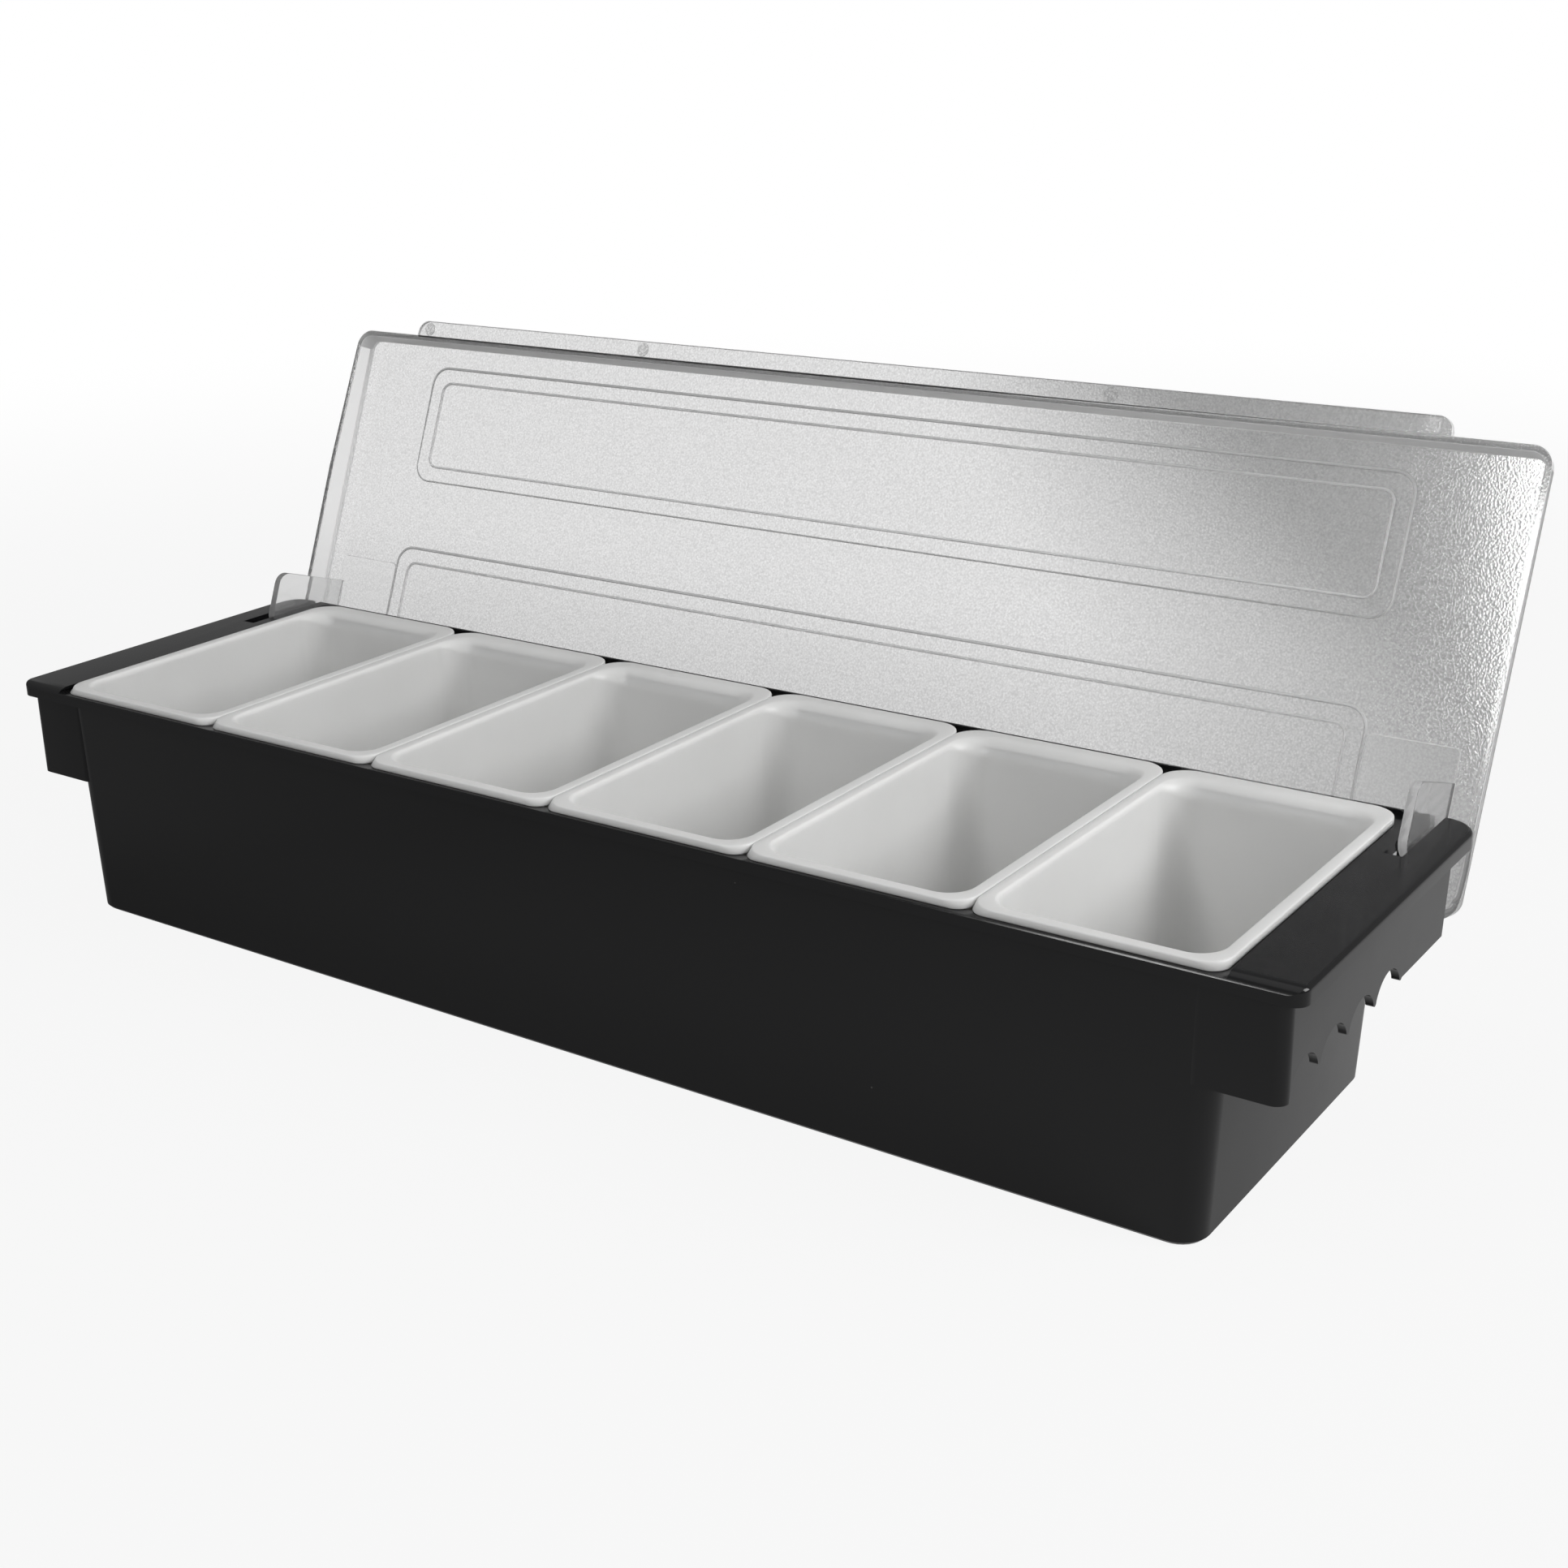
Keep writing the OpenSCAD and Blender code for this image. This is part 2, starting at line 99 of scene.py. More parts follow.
# %% Colour and node helpers
def linear(hex_colour):
    """Linear RGBA of an sRGB colour written as '#rrggbb'."""
    parts = [int(hex_colour[i:i + 2], 16) / 255 for i in (1, 3, 5)]
    return tuple(c / 12.92 if c <= 0.04045 else ((c + 0.055) / 1.055) ** 2.4 for c in parts) + (1.0,)


def add_node(tree, kind, settings=None, **inputs):
    """Adds a node, sets its properties, and sets or links its inputs. Underscores in a name stand for spaces."""
    node = tree.nodes.new(kind)
    for name, value in (settings or {}).items():
        setattr(node, name, value)
    for name, value in inputs.items():
        socket = node.inputs[int(name[1:])] if name[0] == "i" and name[1:].isdigit() else node.inputs[
            name.replace("_", " ")]
        if isinstance(value, bpy.types.NodeSocket):
            tree.links.new(value, socket)
        else:
            socket.default_value = value
    return node


def new_material(name):
    """An empty node material and its output."""
    material = bpy.data.materials.new(name)
    material.use_nodes = True
    material.node_tree.nodes.clear()
    output = material.node_tree.nodes.new("ShaderNodeOutputMaterial")
    return material, material.node_tree, output


def per_metre(millimetres):
    """The scale that makes a texture repeat once in so many millimetres."""
    return 1 / (millimetres * MM)


# %% [markdown]
# ## Black ABS
#
# The housing is injection-moulded ABS, dyed through and polished in the mould. It has a soft gloss and shows hardly
# any colour of its own. Two things tell the eye that it is a real moulding: a very slight waviness of the reflections,
# some 36 mm long, from the shrinking plastic, and a few specks of dust, which glossy black plastic always draws.

# %% Black ABS material
SINK_MM = 35.7143
HAZE_MM = 6.25
DUST_CELL_MM = 6.66667


def black_abs():
    """Glossy black plastic with faint waves and a little dust."""
    material, tree, output = new_material("black_abs_moulded")
    place = add_node(tree, "ShaderNodeTexCoord").outputs["Object"]
    sink = add_node(tree, "ShaderNodeTexNoise", Vector=place, Scale=per_metre(SINK_MM), Detail=2.0).outputs["Fac"]
    haze = add_node(tree, "ShaderNodeTexNoise", Vector=place, Scale=per_metre(HAZE_MM), Detail=4.0).outputs["Fac"]
    gloss = add_node(tree, "ShaderNodeMapRange", Value=haze, From_Min=0.3, From_Max=0.7, To_Min=0.12, To_Max=0.18)
    cells = add_node(tree, "ShaderNodeTexVoronoi", Vector=place, Scale=per_metre(DUST_CELL_MM))
    near = add_node(tree, "ShaderNodeMath", {"operation": "LESS_THAN"}, i0=cells.outputs["Distance"], i1=0.045)
    rare = add_node(tree, "ShaderNodeSeparateColor", Color=cells.outputs["Color"])
    some = add_node(tree, "ShaderNodeMath", {"operation": "GREATER_THAN"}, i0=rare.outputs["Red"], i1=0.96)
    dust = add_node(tree, "ShaderNodeMath", {"operation": "MULTIPLY"}, i0=near.outputs[0], i1=some.outputs[0])
    colour = add_node(tree, "ShaderNodeMix", {"data_type": "RGBA"}, Factor=dust.outputs[0],
                      i6=linear("#121213"), i7=linear("#4a4a48"))
    wave = add_node(tree, "ShaderNodeBump", Height=sink, Distance=0.0006, Strength=0.10)
    surface = add_node(tree, "ShaderNodeBsdfPrincipled", Base_Color=colour.outputs[2],
                       Roughness=gloss.outputs["Result"], IOR=1.54, Normal=wave.outputs["Normal"])
    surface.inputs["Specular IOR Level"].default_value = 0.3
    tree.links.new(surface.outputs[0], output.inputs["Surface"])
    return material


BLACK_ABS = black_abs()
print("made", BLACK_ABS.name)

# %% [markdown]
# ## White polyethylene
#
# The trays are low-density polyethylene. It is milky: light enters, spreads some millimetres and leaves again, which
# softens every shadow inside a tray and makes its thin rim glow. Subsurface scattering gives that. The surface is
# satin, with a faint orange peel from the mould.

# %% White polyethylene material
CLOUD_MM = 45.4545
PEEL_MM = 1.42857


def white_polyethylene():
    """Milky white plastic with a satin skin."""
    material, tree, output = new_material("white_polyethylene")
    place = add_node(tree, "ShaderNodeTexCoord").outputs["Object"]
    cloud = add_node(tree, "ShaderNodeTexNoise", Vector=place, Scale=per_metre(CLOUD_MM), Detail=3.0).outputs["Fac"]
    peel = add_node(tree, "ShaderNodeTexNoise", Vector=place, Scale=per_metre(PEEL_MM), Detail=2.0).outputs["Fac"]
    shade = add_node(tree, "ShaderNodeMapRange", Value=cloud, From_Min=0.3, From_Max=0.7, To_Min=0.0, To_Max=1.0)
    colour = add_node(tree, "ShaderNodeMix", {"data_type": "RGBA"}, Factor=shade.outputs["Result"],
                      i6=linear("#d8d8d7"), i7=linear("#dededd"))
    gloss = add_node(tree, "ShaderNodeMapRange", Value=cloud, From_Min=0.3, From_Max=0.7, To_Min=0.36, To_Max=0.44)
    bump = add_node(tree, "ShaderNodeBump", Height=peel, Distance=0.00005, Strength=0.25)
    surface = add_node(tree, "ShaderNodeBsdfPrincipled", Base_Color=colour.outputs[2],
                       Roughness=gloss.outputs["Result"], IOR=1.51, Normal=bump.outputs["Normal"])
    surface.inputs["Subsurface Weight"].default_value = 0.5
    surface.inputs["Subsurface Radius"].default_value = (1.0, 0.98, 0.96)
    surface.inputs["Subsurface Scale"].default_value = 0.004
    tree.links.new(surface.outputs[0], output.inputs["Surface"])
    return material


WHITE_PE = white_polyethylene()
print("made", WHITE_PE.name)

# %% [markdown]
# ## Clear styrene
#
# The lid is clear polystyrene, in three finishes of one mould. Its broad faces are pebbled, which hides scratches and
# blurs what lies behind. The real pebbles are about 0.5 mm across. They are drawn at 0.75 mm, so that they still show
# when the whole lid is in view. A pebble is clear on its crown and sends light aside on its flanks. That dimming is
# painted shade: the flanks get a greyer tint, and the bump turns the light. A thin glossy coat over the pebbles takes
# the glare of the window.
#
# The pads and the arms at the hinge are polished, with faint flow lines about 4.5 mm apart. The rim is frosted and
# partly milky, because light that enters an edge is scattered inside the plastic. The steps of the frames are smooth.
# The outer ones get a greyer tint, painted shade, and the inner ones a whiter tint, painted light.
#
# The renderer lets no lamp shine through a surface that bends light. So a ray that looks for a lamp finds each face
# transparent by nine tenths of its clear share, and the trays stay light under the closed lid.

# %% Clear styrene materials
PEBBLE_MM = 0.75
GRAIN_MM = 0.714286
FLOW_MM = 4.488
WAVE_TURNS = 20
MILKY_BELOW = 0.5
FACE_PASS = 0.93


def clear_styrene(name, roughness, clear, crown, flank_painted_shade):
    """Clear polystyrene with its share of clear light. Two tints, for crowns and flanks, paint shade on the pebbles."""
    material, tree, output = new_material(name)
    place = add_node(tree, "ShaderNodeTexCoord").outputs["Object"]
    surface = add_node(tree, "ShaderNodeBsdfPrincipled")
    surface.inputs["Roughness"].default_value = roughness
    surface.inputs["IOR"].default_value = 1.5
    surface.inputs["Transmission Weight"].default_value = clear
    if clear < MILKY_BELOW:
        surface.inputs["Subsurface Weight"].default_value = 0.8
        surface.inputs["Subsurface Radius"].default_value = (1.0, 1.0, 1.0)
        surface.inputs["Subsurface Scale"].default_value = 0.003
    if crown != flank_painted_shade:
        pebbles = add_node(tree, "ShaderNodeTexVoronoi", {"feature": "SMOOTH_F1"}, Vector=place,
                           Scale=per_metre(PEBBLE_MM), Smoothness=0.6).outputs["Distance"]
        grain = add_node(tree, "ShaderNodeTexNoise", Vector=place, Scale=per_metre(GRAIN_MM), Detail=2.0).outputs["Fac"]
        relief = add_node(tree, "ShaderNodeMath", {"operation": "MULTIPLY_ADD"}, i0=grain, i1=0.6, i2=pebbles)
        # A greyer tint on the pebbles' flanks is painted shade.
        steep = add_node(tree, "ShaderNodeMapRange", Value=relief.outputs[0], From_Min=0.35, From_Max=1.0)
        pebble_painted_shade = add_node(tree, "ShaderNodeMix", {"data_type": "RGBA"}, Factor=steep.outputs["Result"],
                        i6=linear(crown), i7=linear(flank_painted_shade))
        tree.links.new(pebble_painted_shade.outputs[2], surface.inputs["Base Color"])
        bump = add_node(tree, "ShaderNodeBump", Height=relief.outputs[0], Distance=0.00012, Strength=0.2)
        skin = add_node(tree, "ShaderNodeBump", Height=relief.outputs[0], Distance=0.00004, Strength=0.25)
        tree.links.new(skin.outputs["Normal"], surface.inputs["Coat Normal"])
        surface.inputs["Coat Weight"].default_value = 1.0
        surface.inputs["Coat Roughness"].default_value = 0.06
    else:
        surface.inputs["Base Color"].default_value = linear(crown)
        flow = add_node(tree, "ShaderNodeTexWave", {"bands_direction": "Z"}, Vector=place,
                        Scale=2 * math.pi / WAVE_TURNS * per_metre(FLOW_MM), Distortion=1.0, Detail=1.0,
                        Detail_Scale=0.6).outputs["Fac"]
        bump = add_node(tree, "ShaderNodeBump", Height=flow, Distance=0.0002, Strength=0.12)
    tree.links.new(bump.outputs["Normal"], surface.inputs["Normal"])
    shadow = add_node(tree, "ShaderNodeLightPath").outputs["Is Shadow Ray"]
    passing = add_node(tree, "ShaderNodeBsdfTransparent", Color=(FACE_PASS * clear,) * 3 + (1.0,))
    mixed = add_node(tree, "ShaderNodeMixShader", Fac=shadow, i1=surface.outputs[0], i2=passing.outputs[0])
    tree.links.new(mixed.outputs[0], output.inputs["Surface"])
    return material


STYRENE_PEBBLED = clear_styrene("clear_polystyrene_pebbled", 0.12, 1.0, "#ffffff", "#dcdcdc")
STYRENE_POLISHED = clear_styrene("clear_polystyrene_polished", 0.06, 0.9, "#ececec", "#ececec")
STYRENE_EDGE = clear_styrene("clear_polystyrene_edge", 0.3, 0.25, "#ececec", "#ececec")
# The two step finishes are lit and shaded copies: a greyer tint, painted shade, and a whiter one, painted light.
STYRENE_SHARP_STEP_PAINTED_SHADE = clear_styrene("clear_polystyrene_sharp_step_painted_shade", 0.28, 0.7, "#dedede", "#dedede")
STYRENE_SOFT_STEP_PAINTED_LIGHT = clear_styrene("clear_polystyrene_soft_step_painted_light", 0.4, 0.45, "#fafafa", "#fafafa")
print("made", [m.name for m in (STYRENE_PEBBLED, STYRENE_POLISHED, STYRENE_EDGE, STYRENE_SHARP_STEP_PAINTED_SHADE, STYRENE_SOFT_STEP_PAINTED_LIGHT)])

# %% [markdown]
# ## A moulding from its CAD node
#
# The CAD meshes have the right shape, but each triangle stands alone and every edge is knife-sharp. A mould can't
# make such edges. So a copy is merged, its flat areas become single faces, and a narrow bevel rounds every edge that
# is sharper than a limit. Under gloss, it is these thin rounds that catch the light.


# %% Merge, smooth and round a CAD copy
MERGE_WITHIN = 2e-6
FLAT_WITHIN = math.radians(0.3)
SHARP_FROM = math.radians(32)


def moulding(node, name, edge_mm, material, body):
    """Replaces a CAD node by a merged copy with rounded edges."""
    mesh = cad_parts[node].data.copy()
    mesh.materials.clear()
    form = bmesh.new()
    form.from_mesh(mesh)
    bmesh.ops.remove_doubles(form, verts=form.verts, dist=MERGE_WITHIN)
    bmesh.ops.dissolve_limit(form, angle_limit=FLAT_WITHIN, verts=form.verts, edges=form.edges)
    form.to_mesh(mesh)
    form.free()
    for attribute in [a.name for a in mesh.attributes if a.name in ("custom_normal", "sharp_edge", "sharp_face")]:
        mesh.attributes.remove(mesh.attributes[attribute])
    mesh.shade_smooth()
    piece = bpy.data.objects.new(name, mesh)
    bpy.context.scene.collection.objects.link(piece)
    bevel = piece.modifiers.new("mould_rounds", "BEVEL")
    bevel.width = edge_mm * MM
    bevel.segments = 2
    bevel.limit_method = "ANGLE"
    bevel.angle_limit = SHARP_FROM
    bevel.use_clamp_overlap = True
    bevel.harden_normals = True
    depsgraph = bpy.context.evaluated_depsgraph_get()
    rounded = bpy.data.meshes.new_from_object(piece.evaluated_get(depsgraph), depsgraph=depsgraph)
    piece.modifiers.clear()
    piece.data = rounded
    rounded.materials.clear()
    rounded.materials.append(material)
    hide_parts(node)
    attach(piece, body)
    print(name, "faces", len(rounded.polygons))
    return piece


# %% The housing
moulding("housing", "housing_moulding", 0.6, BLACK_ABS, "base")

# %% The lid
lid = moulding("lid", "lid_moulding", 0.3, STYRENE_POLISHED, "lid")

# %% [markdown]
# The open lid's panel leans back by 22.5 degrees. Its finishes are found by direction and place. A face along the
# panel is pebbled if it lies on the panel, on a frame's top or on the handle tab. The two pads at the hinge arms and
# the arms themselves are polished. What is left, the rim and the steps' own narrow faces, is frosted.

# %% Finishes of the lid's faces
LID_LEAN = math.radians(22.5)
PANEL_MM = 2.4
PAD_MM = 0.5
FINISH_SLACK = 0.1
SLOT_INSET = 13.5
ARM_SIDE = 8
ARM_TOP = 105
panel_out = Vector((0, -math.cos(LID_LEAN), math.sin(LID_LEAN)))
lid.data.materials.append(STYRENE_PEBBLED)
lid.data.materials.append(STYRENE_EDGE)
outer_face = min(v.co.dot(panel_out) for v in lid.data.vertices)
arm_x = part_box("housing")[1].x - (SLOT_INSET + ARM_SIDE) * MM
for face in lid.data.polygons:
    depth = (face.center.dot(panel_out) - outer_face) / MM
    along_panel = abs(face.normal.dot(panel_out)) > 0.98
    is_arm = abs(face.center.x) > arm_x and PANEL_MM + FINISH_SLACK < depth and face.center.z < ARM_TOP * MM
    if is_arm or (along_panel and abs(depth - PANEL_MM - PAD_MM) < FINISH_SLACK):
        face.material_index = 0
    else:
        face.material_index = 1 if along_panel else 2
counts = [sum(1 for f in lid.data.polygons if f.material_index == k) for k in range(3)]
print("lid faces: polished, pebbled, edge", counts)

# %% [markdown]
# ## Marks of the ejector pins
#
# Pins push a moulding out of its mould, and each leaves a shallow round mark. The lid has four on its handle tab. A
# texture could draw them, but a real step of a fraction of a millimetre bends the light as the real one does. One low
# disc, already turned to the tab's slope, is repeated by Geometry Nodes, as an outer and an inner pair.

# %% One ejector mark
PIN_RADIUS = 2.6
PIN_STEP = 0.08
PIN_SIDES = 40
PIN_OUTER_X = 207
PIN_INNER_X = 98
PIN_BELOW_TIP = 3.4


def pin_mesh():
    """A low disc with a sloping edge, half of it sunk into the tab and turned to face along panel_out."""
    form = bmesh.new()
    bmesh.ops.create_cone(form, cap_ends=True, segments=PIN_SIDES, radius1=PIN_RADIUS * MM,
                          radius2=(PIN_RADIUS - PIN_STEP) * MM, depth=2 * PIN_STEP * MM,
                          matrix=Matrix.Rotation(math.pi / 2 - LID_LEAN, 4, "X"))
    mesh = bpy.data.meshes.new("pin_mark")
    form.to_mesh(mesh)
    form.free()
    return mesh


# %% [markdown]
# ## One tray, as a loft
#
# A tray is a thin wall that follows one rounded rectangle all the way round. It could be sculpted or made with a
# solidified box, but a loft keeps every radius exact: each ring is the same rounded rectangle with other insets, and
# the rings run from under the floor, up the outside, over the rim and down the inside. At the back the rim is wide
# and rolls softly into the tray, so a ring's inset and height there are their own.

# %% Ring and section of a tray
TRAY_WALL = 1.8
TRAY_TAPER = 3.2
RIM_HEIGHT = 2.4
SIDE_RIM = 2.6
BACK_RIM = 8.8
CORNER_STEPS = 10
SIDE_STEPS = 6
TRAY_LOW, TRAY_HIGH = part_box("tray_1")
TRAY_SIZE = (TRAY_HIGH - TRAY_LOW) / MM
OUTER_FRONT_R = 8.0
LEDGE_FRONT_R = 5.0
OUTER_BACK_R = 9.0
INNER_FRONT_R = 9.0
INNER_BACK_R = 10.0
RIM_EDGE = 0.45
FLOOR_ROUND = 9.0


def arc(centre, radii, start, end, steps):
    """Points of an ellipse's arc, as (inset, height) pairs, angles in degrees from the inset direction."""
    turns = [math.radians(start + (end - start) * k / steps) for k in range(steps + 1)]
    return [(centre[0] + radii[0] * math.cos(t), centre[1] + radii[1] * math.sin(t)) for t in turns]


def tray_section(rim, flat, roll, height):
    """Insets and heights along a tray's wall: floor outside, outer wall, rim, inner roll, inner wall, floor."""
    base = FLOOR_ROUND
    bottom = rim + TRAY_TAPER
    inner = rim + TRAY_WALL
    points = arc((bottom + base, base - height), (-base, base), -90, 0, 6)
    points += [(rim + TRAY_TAPER * 0.5, -height / 2), (rim + 0.2, -RIM_HEIGHT - 0.6), (rim, -RIM_HEIGHT)]
    points += [(rim - 0.2, -RIM_HEIGHT), (0.3, -RIM_HEIGHT), (0.08, -RIM_HEIGHT + 0.08), (0, -RIM_HEIGHT + 0.3)]
    points += arc((RIM_EDGE, -RIM_EDGE), (-RIM_EDGE, RIM_EDGE), 0, 90, 3)
    points += [(RIM_EDGE + (flat - RIM_EDGE) * 0.5, 0)]
    points += arc((flat, -roll), (inner - flat, roll), 90, 0, 10)
    points += [(inner + TRAY_TAPER * 0.35, -height * 0.35), (inner + TRAY_TAPER * 0.7, -height * 0.65)]
    points += arc((inner + TRAY_TAPER + base - TRAY_WALL, base - height), (TRAY_WALL - base, base - TRAY_WALL),
                  0, -90, 8)
    return points


side_section = tray_section(SIDE_RIM, 3.3, 2.2, TRAY_SIZE.z)
back_section = tray_section(BACK_RIM, 4.6, 7.0, TRAY_SIZE.z)
print("tray size", [round(v, 1) for v in TRAY_SIZE], "section points", len(side_section))


# %% [markdown]
# A ring starts as the tray's outer outline, moved inward. The rim's front corners are rounder on top than on their
# lower edge, so a light ledge shows in the small triangle between two neighbours. Where the wall turns into the
# floor, the corners shrink. The weight in the code is 0 along the front and the sides and 1 along the back. It
# changes smoothly in the two back corners, which blends the narrow side rim into the wide back rim.


# %% Tray rings and mesh
def tray_ring(side, back):
    """One ring of a tray, round from the front right corner, in millimetres about the tray's centre."""
    half_x = TRAY_SIZE.x / 2 - side[0]
    front = -TRAY_SIZE.y / 2 + side[0]
    rear = TRAY_SIZE.y / 2 - back[0]
    share = min(side[0] / (SIDE_RIM + TRAY_WALL), 1)
    shrink = max(side[0] - SIDE_RIM - TRAY_WALL - TRAY_TAPER, 0) * 0.8
    lip_r = LEDGE_FRONT_R if side[1] < -RIM_HEIGHT / 2 else OUTER_FRONT_R
    front_r = max(lip_r + (INNER_FRONT_R - lip_r) * share - shrink, 1.0)
    back_r = max(OUTER_BACK_R + (INNER_BACK_R - OUTER_BACK_R) * share - shrink, 1.0)
    corners = [
        (half_x - front_r, front + front_r, front_r, -90),
        (half_x - back_r, rear - back_r, back_r, 0),
        (back_r - half_x, rear - back_r, back_r, 90),
        (front_r - half_x, front + front_r, front_r, 180),
    ]
    points = []
    for c, (x, y, r, start) in enumerate(corners):
        for k in range(CORNER_STEPS + 1):
            share = k / CORNER_STEPS
            a = math.radians(start + 90 * share)
            smooth = share * share * (3 - 2 * share)
            weight = (0, smooth, 1 - smooth, 0)[c]
            z = side[1] + (back[1] - side[1]) * weight
            points.append(Vector((x + r * math.cos(a), y + r * math.sin(a), z)))
        following = corners[(c + 1) % 4]
        end_angle = math.radians(following[3])
        target = Vector((following[0] + following[2] * math.cos(end_angle),
                         following[1] + following[2] * math.sin(end_angle), points[-1].z))
        first = points[-1].copy()
        for k in range(1, SIDE_STEPS):
            points.append(first.lerp(target, k / SIDE_STEPS))
    return points


def tray_mesh():
    """The whole wall of one tray, centred on its own origin, with its rim's top at height 0."""
    form = bmesh.new()
    rings = []
    for side, back in zip(side_section, back_section):
        rings.append([form.verts.new(p * MM) for p in tray_ring(side, back)])
    count = len(rings[0])
    for lower, upper in zip(rings, rings[1:]):
        for k in range(count):
            form.faces.new((lower[k], lower[(k + 1) % count], upper[(k + 1) % count], upper[k]))
    form.faces.new(list(reversed(rings[0])))
    form.faces.new(rings[-1])
    bmesh.ops.recalc_face_normals(form, faces=form.faces)
    mesh = bpy.data.meshes.new("tray_form")
    form.to_mesh(mesh)
    form.free()
    mesh.shade_smooth()
    return mesh


one_tray = tray_mesh()
print("one tray has", len(one_tray.polygons), "faces")

# %% [markdown]
# ## The row of trays
#
# The six trays are alike and stand at one pitch, so they are a case for Geometry Nodes: a line of points, an
# instance of the tray on each, then Realize Instances and Set Material, so that plain geometry is left.

# %% Geometry Nodes for the row
TRAY_COUNT = 6


def row_tree():
    """A node tree that repeats its input geometry along X."""
    tree = bpy.data.node_groups.new("tray_row", "GeometryNodeTree")
    tree.interface.new_socket("Geometry", in_out="INPUT", socket_type="NodeSocketGeometry")
    for name, kind in (("Count", "NodeSocketInt"), ("Pitch", "NodeSocketFloat"), ("Start", "NodeSocketVector"),
                       ("Plastic", "NodeSocketMaterial")):
        tree.interface.new_socket(name, in_out="INPUT", socket_type=kind)
    tree.interface.new_socket("Geometry", in_out="OUTPUT", socket_type="NodeSocketGeometry")
    given = tree.nodes.new("NodeGroupInput").outputs
    step = add_node(tree, "ShaderNodeCombineXYZ", X=given["Pitch"]).outputs[0]
    line = add_node(tree, "GeometryNodeMeshLine", Count=given["Count"], Start_Location=given["Start"], Offset=step)
    placed = add_node(tree, "GeometryNodeInstanceOnPoints", Points=line.outputs[0], Instance=given["Geometry"])
    real = add_node(tree, "GeometryNodeRealizeInstances", Geometry=placed.outputs[0])
    dressed = add_node(tree, "GeometryNodeSetMaterial", Geometry=real.outputs[0], Material=given["Plastic"])
    tree.links.new(dressed.outputs[0], tree.nodes.new("NodeGroupOutput").inputs[0])
    return tree


def repeated(mesh, name, tree, values):
    """A plain mesh object made by a node tree from a mesh and named input values."""
    piece = bpy.data.objects.new(name, mesh)
    bpy.context.scene.collection.objects.link(piece)
    modifier = piece.modifiers.new("repeat", "NODES")
    modifier.node_group = tree
    sockets = {item.name: item.identifier for item in tree.interface.items_tree if item.in_out == "INPUT"}
    for label, value in values.items():
        modifier[sockets[label]] = value
    depsgraph = bpy.context.evaluated_depsgraph_get()
    plain = bpy.data.meshes.new_from_object(piece.evaluated_get(depsgraph), depsgraph=depsgraph)
    piece.modifiers.clear()
    piece.data = plain
    return piece


first_middle = (TRAY_LOW + TRAY_HIGH) / 2
tray_pitch = (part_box("tray_2")[0] - TRAY_LOW).x
trays = repeated(one_tray, "tray_row", row_tree(), {
    "Count": TRAY_COUNT, "Pitch": tray_pitch, "Plastic": WHITE_PE,
    "Start": (first_middle.x, first_middle.y, TRAY_HIGH.z)})
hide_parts(*[f"tray_{k + 1}" for k in range(TRAY_COUNT)])
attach(trays, "base")
print("tray row", len(trays.data.polygons), "faces at a pitch of", round(tray_pitch / MM, 2), "mm")

# %% [markdown]
# ## Rounded steps of the lid's frames
#
# The two frames on the lid's inner face end in soft steps. Such a step works like a thin lens and draws the fine
# double line round each frame, while a sharp step of a millimetre hardly shows. So a bead follows each step. It is a
# case for curves in Geometry Nodes: a rounded rectangle, swept with a small circle whose radius changes from the
# bottom side to the top side. The outer step is the sharper and darker one, most of all along its top, and part of its
# darkness is painted shade, a greyer tint. The inner step is soft and milky, with a whiter tint that is painted light.

# %% Bead along a rounded rectangle
FRAME_WIDTH = 6.0
FRAME_DEPTH = 46.3
FRAME_INSET = 41.0
FRAME_FRONT = 11.7
FRAME_GAP = 27.6
FRAME_RADIUS = 7.0
FRAME_INNER_RADIUS = 4.0
BEAD_HEIGHT = 0.45
OUTER_BEADS = (0.32, 0.55)
INNER_BEADS = (0.5, 0.5)


